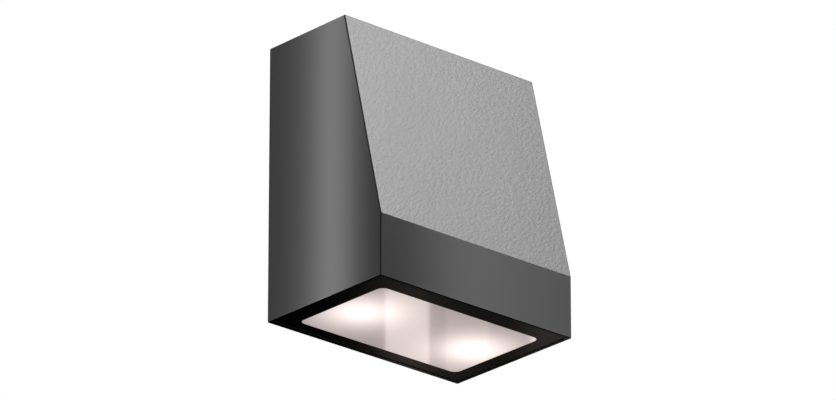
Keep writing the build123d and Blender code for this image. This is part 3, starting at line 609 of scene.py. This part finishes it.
def insulation(name, colour, stripe=None):
    wire = Finish(name, ior=1.5)
    bends = wire.noise(BENDS, 3.0)
    skin = wire.noise(WIRE_SKIN)
    tone = wire.mix(bends, tuple(BEND_SHADE * part for part in colour), colour)
    if stripe:
        _, y, _ = wire.axes()
        tone = wire.mix(y.between(EARTH_DEPTH - STRIPE_SOFT, EARTH_DEPTH + STRIPE_SOFT), tone, stripe)
    wire.set(base_color=tone, roughness=0.32 + 0.2 * bends, normal=wire.bump(skin, WIRE_RELIEF))
    return wire


FINISHES["brown_wire"] = insulation("brown_wire", (0.085, 0.027, 0.010))
FINISHES["blue_wire"] = insulation("blue_wire", (0.012, 0.06, 0.40))
FINISHES["green_wire"] = insulation("green_wire", (0.035, 0.24, 0.02), YELLOW)
FINISHES["white_wire"] = insulation("white_wire", (0.72, 0.72, 0.69))
print("four kinds of insulation")

# %% Tinned copper
TIN = (0.60, 0.585, 0.55)
COPPER = (0.62, 0.40, 0.27)
TIN_WEAR = 0.003
TIN_SKIN = 0.0006
TIN_DEPTH = 0.00002


def tinned_copper():
    ring = Finish("tinned_copper", metallic=1.0)
    worn = ring.noise(TIN_WEAR, 4.0).between(0.52, 0.72)
    skin = ring.noise(TIN_SKIN)
    ring.set(base_color=ring.mix(0.6 * worn, TIN, COPPER), roughness=0.25 + 0.2 * skin,
             normal=ring.bump(skin, TIN_DEPTH))
    return ring


FINISHES["tinned_copper"] = tinned_copper()
print("tinned copper ring")

# %% [markdown]
# ## Dressing
#
# Every packed piece takes the finish of its slot in the record. The solids themselves stay as they are.

# %% Dress the pieces
for name, piece in nodes.items():
    piece.data.materials.clear()
    piece.data.materials.append(FINISHES[slot_of[name]].material)
print("dressed", len(nodes), "pieces in", len(FINISHES), "finishes")

# %% [markdown]
# ## Tools for new pieces
#
# New pieces are modelled as by hand, from a primitive that edit mode shapes. An operator works on all
# that is selected, so a piece is first selected alone, and its faces or points are picked in code by
# where they are. A finished piece has its place in its mesh, and its object stays at the origin.

# %% Picking and finishing
SMOOTH_ANGLE = math.radians(35)


def alone(piece):
    """Makes a piece the one selected and active object."""
    bpy.ops.object.select_all(action="DESELECT")
    piece.select_set(True)
    bpy.context.view_layer.objects.active = piece


def pick_faces(piece, wanted):
    """In edit mode, selects the faces that pass a test of their middle."""
    bpy.ops.mesh.select_mode(type="FACE")
    bpy.ops.mesh.select_all(action="DESELECT")
    mesh = bmesh.from_edit_mesh(piece.data)
    for face in mesh.faces:
        face.select_set(bool(wanted(face.calc_center_median())))
    bmesh.update_edit_mesh(piece.data)


def pick_points(piece, wanted):
    """In edit mode, selects the points that pass a test of their place."""
    bpy.ops.mesh.select_mode(type="VERT")
    bpy.ops.mesh.select_all(action="DESELECT")
    mesh = bmesh.from_edit_mesh(piece.data)
    for point in mesh.verts:
        point.select_set(bool(wanted(point.co)))
    bmesh.update_edit_mesh(piece.data)


def apply_modifier(piece, kind, **settings):
    """Adds a modifier to a piece and applies it at once."""
    modifier = piece.modifiers.new(kind.lower(), kind)
    for name, value in settings.items():
        setattr(modifier, name, value)
    alone(piece)
    bpy.ops.object.modifier_apply(modifier=modifier.name)


def finish_piece(piece, name, place, slot):
    """Puts a piece in its place, dresses it and lets it ride with the light."""
    piece.name = name
    piece.data.name = name
    piece.location = place
    alone(piece)
    bpy.ops.object.transform_apply(location=True, rotation=True, scale=True)
    bpy.ops.object.shade_smooth_by_angle(angle=SMOOTH_ANGLE)
    piece.data.materials.clear()
    piece.data.materials.append(FINISHES[slot].material)
    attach(piece, "luminaire")
    print("made", name, "with", len(piece.data.polygons), "faces")


print("tools ready")

# %% [markdown]
# ## The bare plate on the driver
#
# A driver carries a thin metal plate on its cover. Here it is left bare. It starts as a plane, gets round
# corners by a bevel of its points and a raised frame by two insets, and two rivets with domed heads hold
# it. The rivets are spheres that a bisect cuts to a cap, so that only the dome stands on the plate.

# %% Driver plate
PLATE_SIZE = (0.064, 0.022)
PLATE_SHEET = 0.0004
PLATE_CORNER = 0.002
PLATE_FRAME = 0.0009
PLATE_STEP = 0.0002
PLATE_SINK = 0.00012
RIVET_RADIUS = 0.0014
RIVET_HEAD = 0.0007
RIVET_INSET = 0.004


def flat_plate():
    bpy.ops.object.select_all(action="DESELECT")
    bpy.ops.mesh.primitive_plane_add(size=1.0)
    plate = bpy.context.object
    plate.scale = (*PLATE_SIZE, 1.0)
    bpy.ops.object.transform_apply(scale=True)
    bpy.ops.object.mode_set(mode="EDIT")
    bpy.ops.mesh.select_all(action="SELECT")
    bpy.ops.mesh.bevel(offset=PLATE_CORNER, segments=5, affect="VERTICES")
    bpy.ops.mesh.select_all(action="SELECT")
    bpy.ops.mesh.extrude_region_move(TRANSFORM_OT_translate={"value": (0, 0, PLATE_SHEET)})
    bpy.ops.mesh.inset(thickness=PLATE_FRAME, depth=0.0)
    bpy.ops.mesh.inset(thickness=PLATE_STEP, depth=-PLATE_SINK)
    bpy.ops.mesh.select_all(action="SELECT")
    bpy.ops.mesh.normals_make_consistent(inside=False)
    bpy.ops.object.mode_set(mode="OBJECT")
    return plate


def rivet(x):
    bpy.ops.object.select_all(action="DESELECT")
    ball = (RIVET_RADIUS ** 2 + RIVET_HEAD ** 2) / (2 * RIVET_HEAD)
    bpy.ops.mesh.primitive_uv_sphere_add(segments=24, ring_count=32, radius=ball,
                                         location=(x, 0, PLATE_SHEET + RIVET_HEAD - ball))
    dome = bpy.context.object
    bpy.ops.object.transform_apply(location=True)
    bpy.ops.object.mode_set(mode="EDIT")
    bpy.ops.mesh.select_all(action="SELECT")
    bpy.ops.mesh.bisect(plane_co=(x, 0, 0.5 * PLATE_SHEET), plane_no=(0, 0, 1), clear_inner=True,
                        use_fill=True)
    bpy.ops.object.mode_set(mode="OBJECT")
    return dome


def driver_plate():
    plate = flat_plate()
    domes = [rivet(side * (PLATE_SIZE[0] / 2 - RIVET_INSET)) for side in (-1, 1)]
    alone(plate)
    for dome in domes:
        dome.select_set(True)
    bpy.ops.object.join()
    plate.rotation_euler = (-math.pi / 2, 0.0, 0.0)
    low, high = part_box("driver_cover")
    place = ((low[0] + high[0]) / 2, high[1], (low[2] + high[2]) / 2)
    finish_piece(plate, "driver_plate", place, "bright_aluminium")


driver_plate()

# %% [markdown]
# ## Cable ties
#
# Nylon ties hold the wires together where they run side by side. A tie is a flat band round two wires,
# with a square head that the cut tail comes out of. A curve with a bevel could make the band, but a
# circle that is pulled apart in the middle and then extruded gives the flat sides directly, and Solidify
# turns it into a strap. The ties differ only in the wires they hold, so one function makes all three.

# %% Cable ties
TIE_SLACK = 0.00005
TIE_SHEET = 0.0009
TIE_WIDTH = 0.0025
TIE_EDGE = 0.0002
TIE_HEAD = (0.0046, 0.0034, 0.0042)
HEAD_EDGE = 0.0004
HEAD_MOUTH = (0.0006, 0.0004)
HEAD_DIMPLE = (0.0007, 0.0005)
TIE_TAIL = 0.0035
TAIL_INSET = 0.00025
WIRE_DEPTH = -0.046
LEADS = {"x": 0.072, "half_pitch": 0.0025, "radius": 0.0014}
SUPPLY = {"x": -0.070, "half_pitch": 0.002, "radius": 0.0012}


def tie_band(reach, half_pitch):
    """Flat band round two wires that stand half_pitch left and right of the middle."""
    bpy.ops.object.select_all(action="DESELECT")
    bpy.ops.mesh.primitive_circle_add(vertices=40, radius=reach, fill_type="NOTHING")
    band = bpy.context.object
    bpy.ops.object.mode_set(mode="EDIT")
    for side in (-1, 1):
        pick_points(band, lambda point: side * point.x > 0.01 * reach)
        bpy.ops.transform.translate(value=(side * half_pitch, 0, 0))
    bpy.ops.mesh.select_all(action="SELECT")
    bpy.ops.mesh.extrude_region_move(TRANSFORM_OT_translate={"value": (0, 0, TIE_WIDTH)})
    bpy.ops.mesh.select_all(action="SELECT")
    bpy.ops.transform.translate(value=(0, 0, -TIE_WIDTH / 2))
    bpy.ops.mesh.normals_make_consistent(inside=False)
    bpy.ops.object.mode_set(mode="OBJECT")
    apply_modifier(band, "SOLIDIFY", thickness=TIE_SHEET, offset=1.0)
    apply_modifier(band, "BEVEL", width=TIE_EDGE, segments=2, limit_method="ANGLE")
    return band


def tie_head(depth):
    """Locking head with a mouth, the cut tail that comes out of it, and a dimple on its back."""
    bpy.ops.object.select_all(action="DESELECT")
    bpy.ops.mesh.primitive_cube_add(size=1.0, location=(0, depth, 0), scale=TIE_HEAD)
    head = bpy.context.object
    bpy.ops.object.transform_apply(location=True, scale=True)
    bpy.ops.object.mode_set(mode="EDIT")
    bpy.ops.mesh.select_all(action="SELECT")
    bpy.ops.mesh.bevel(offset=HEAD_EDGE, segments=2, affect="EDGES")
    pick_faces(head, lambda middle: middle.x > 0.49 * TIE_HEAD[0])
    bpy.ops.mesh.inset(thickness=HEAD_MOUTH[0], depth=-HEAD_MOUTH[1])
    bpy.ops.mesh.inset(thickness=TAIL_INSET, depth=0.0)
    bpy.ops.mesh.extrude_region_move(TRANSFORM_OT_translate={"value": (TIE_TAIL, 0, 0)})
    pick_faces(head, lambda middle: middle.y > depth + 0.49 * TIE_HEAD[1])
    bpy.ops.mesh.inset(thickness=HEAD_DIMPLE[0], depth=-HEAD_DIMPLE[1])
    bpy.ops.object.mode_set(mode="OBJECT")
    return head


def cable_tie(name, z, x, half_pitch, radius):
    """Tie at height z round two wires of this radius."""
    reach = radius + TIE_SLACK
    band = tie_band(reach, half_pitch)
    head = tie_head(reach + 0.5 * TIE_SHEET + TIE_HEAD[1] / 2)
    alone(band)
    head.select_set(True)
    bpy.ops.object.join()
    finish_piece(band, name, (x, WIRE_DEPTH, z), "white_plastic")


cable_tie("lead_tie_upper", z=0.012, **LEADS)
cable_tie("lead_tie_lower", z=-0.026, **LEADS)
cable_tie("supply_tie", z=0.0205, **SUPPLY)

# %% [markdown]
# ## World
#
# The picture has a pure white ground. The world is white to the camera, in reflections and through
# glass, and weaker as a source of soft light, so that the finishes keep their depth.

# %% World
AMBIENT = 0.3
WHITE = (1.0, 1.0, 1.0)
SEEN_RAYS = ("Is Camera Ray", "Is Glossy Ray", "Is Transmission Ray")


def seen(graph):
    """1 for a ray from the camera, also by way of a mirror or through glass, and 0 for soft light."""
    straight, mirror, through = [graph.node("ShaderNodeLightPath", output=ray) for ray in SEEN_RAYS]
    return straight.maths("MAXIMUM", mirror).maths("MAXIMUM", through)


bpy.context.scene.view_settings.view_transform = "Standard"
world = bpy.data.worlds.new("studio")
world.use_nodes = True
bpy.context.scene.world = world
studio = Graph(world.node_tree, "ShaderNodeOutputWorld")
strength = studio.node("ShaderNodeMapRange", None, {"Value": seen(studio), "To Min": AMBIENT, "To Max": 1.0})
studio.end(studio.node("ShaderNodeBackground", None, {"Color": WHITE, "Strength": strength}))
print("white world that lights with", AMBIENT)

# %% [markdown]
# ## Lamps
#
# A smooth face shows what it mirrors, so a lamp is best placed by reflecting the line of sight in the
# normal of its face. A broad soft box overhead lies half in the mirror image of the slanted panel. Three
# narrow strips below stand in the mirror image of the window: the middle band, the faint side and the
# bright end. An upright strip lights the left side and another the lip, so close that their light falls
# off along the face. A last soft box fills the back and the right.

# %% Lamp tools
SIGHT = (LIGHT_MIDDLE - CAMERA_PLACE).normalized()


def mirrored(normal):
    """Direction that a face with this normal mirrors to the camera."""
    normal = Vector(normal).normalized()
    return SIGHT - 2 * SIGHT.dot(normal) * normal


def soft_lamp(name, place, target, width, height, radiance, spread=math.pi):
    """Rectangular soft box that faces a target. Its power follows from how bright its face is."""
    data = bpy.data.lights.new(name, "AREA")
    data.shape = "RECTANGLE"
    data.size = width
    data.size_y = height
    data.spread = spread
    data.energy = radiance * math.pi * width * height
    lamp = bpy.data.objects.new(name, data)
    lamp.location = place
    lamp.rotation_mode = "QUATERNION"
    lamp.rotation_quaternion = (Vector(target) - Vector(place)).to_track_quat("-Z", "Y")
    lamp.visible_camera = False
    bpy.context.collection.objects.link(lamp)
    print("lamp", name, "of", round(data.energy, 2), "W")
    return lamp


def upright_lamp(name, place, aim, width, radiance, spread=math.pi, height=0.9):
    """Upright strip that shines level along aim, X and Y of a way."""
    place = Vector(place)
    return soft_lamp(name, place, place + Vector((*aim, 0)), width, height, radiance, spread)


print("the camera looks along", tuple(round(part, 3) for part in SIGHT))

# %% Lamps on the coat
PANEL_MIDDLE = Vector((0, -0.1, 0))
PANEL_UP = Vector((0, PANEL_NORMAL[1], -PANEL_NORMAL[0]))
OVERHEAD_DISTANCE = 2.2
OVERHEAD_ASIDE = Vector((-0.25, 0, 0))
OVERHEAD_DROP = 0.052

panel_way = mirrored((0, *PANEL_NORMAL))
over_way = (panel_way + OVERHEAD_ASIDE - OVERHEAD_DROP * PANEL_UP).normalized()
soft_lamp("overhead", place=PANEL_MIDDLE + OVERHEAD_DISTANCE * over_way, target=PANEL_MIDDLE,
          width=1.0285, height=1.023, radiance=11.1)
upright_lamp("left_strip", place=(-0.1594, 0.0017, 0.06), aim=(0.995, -0.099), width=0.016,
             radiance=9.9, spread=2.17)
upright_lamp("lip_strip", place=(0.0884, -0.3212, -0.02), aim=(0.303, 0.953), width=0.08,
             radiance=14.0, spread=1.92)
soft_lamp("rear_fill", place=(0.9, 3.9, 1.9), target=(0, 0, 0), width=3.0, height=3.0, radiance=2.9)

# %% Strips under the window
ACROSS = Vector((math.cos(CAMERA_YAW), math.sin(CAMERA_YAW), 0))
STRIP_TINT = (1.0, 0.855, 0.812)
STRIP_HEIGHT = 0.1435
STRIP_LEVEL = -0.2218
STRIP_DISTANCE = 0.35
STRIP_IMAGE = Vector((-0.0063, -0.0543, -0.13))

window_way = mirrored((0, 0, -1))
strip_place = STRIP_IMAGE + STRIP_DISTANCE * window_way
strip_place.z = STRIP_LEVEL
for name, aside, width, radiance in (("window_strip", -0.0011, 0.0331, 1.9),
                                     ("window_side", 0.0441, 0.0327, 0.48),
                                     ("window_end", 0.1077, 0.0327, 2.2)):
    strip = upright_lamp(name, strip_place + aside * ACROSS, (-window_way.x, -window_way.y), width, radiance,
                         height=STRIP_HEIGHT)
    strip.data.color = STRIP_TINT

# %% [markdown]
# ## Cards
#
# In a white room a dark coat looks milky. Black cards take the place of the white world in the mirror
# image of the window, the left side, the lip and the corner between them. They are hidden from the
# camera, and so they only darken what is mirrored.

# %% Cards
CARD_BLACK = Finish("card_black", base_color=(0.003, 0.003, 0.003), roughness=0.9, specular_ior_level=0.0)
CARD_ASIDE = 0.44
GLASS_MIDDLE = Vector((0, -0.06, -0.13))
LEFT_MIDDLE = Vector((-0.09, -0.06, -0.03))
LIP_MIDDLE = Vector((0, -0.12, -0.107))
CORNER = Vector((-0.09, -0.12, -0.1))
BELOW = GLASS_MIDDLE - CARD_ASIDE * ACROSS


def black_card(name, face, way, distance, width, height):
    """Card that stands square to a way, at a distance from the middle of a face."""
    bpy.ops.object.select_all(action="DESELECT")
    bpy.ops.mesh.primitive_plane_add(size=1.0, location=face + distance * way)
    card = bpy.context.object
    card.name = name
    card.scale = (width, height, 1.0)
    card.rotation_mode = "QUATERNION"
    card.rotation_quaternion = (-way).to_track_quat("Z", "Y")
    card.data.materials.append(CARD_BLACK.material)
    card.visible_camera = False
    print("card", name, "of", width, "by", height, "m")


black_card("card_below", BELOW, window_way, distance=0.42, width=1.2, height=1.2)
black_card("card_left", LEFT_MIDDLE, mirrored((-1, 0, 0)), distance=1.5, width=0.55, height=0.7)
black_card("card_lip", LIP_MIDDLE, mirrored((0, -1, 0)), distance=1.5, width=0.9, height=0.35)
black_card("card_corner", CORNER, mirrored((-1, -1, 0)), distance=1.2, width=3.0, height=1.1)

# %% [markdown]
# ## Floor
#
# The camera looks up at the light, so the pale floor is far below it and out of the picture. It sends a
# little light back up. Like the world it is white where it is seen, also in a mirror, so that a view
# from above has the same ground as the picture.

# %% Floor
FLOOR_LEVEL = -7.0
FLOOR_SIZE = 40.0
FLOOR_PALE = (0.85, 0.85, 0.85)

bpy.ops.object.select_all(action="DESELECT")
bpy.ops.mesh.primitive_plane_add(size=FLOOR_SIZE, location=(0, 0, FLOOR_LEVEL))
floor = bpy.context.object
floor.name = "floor"
paint = Finish("floor_paint", base_color=FLOOR_PALE, roughness=0.9)
white = paint.node("ShaderNodeEmission", None, {"Color": WHITE})
paint.end(paint.node("ShaderNodeMixShader", None, {0: seen(paint), 1: paint.surface, 2: white}))
floor.data.materials.append(paint.material)
print("floor at", FLOOR_LEVEL, "m")

# %% [markdown]
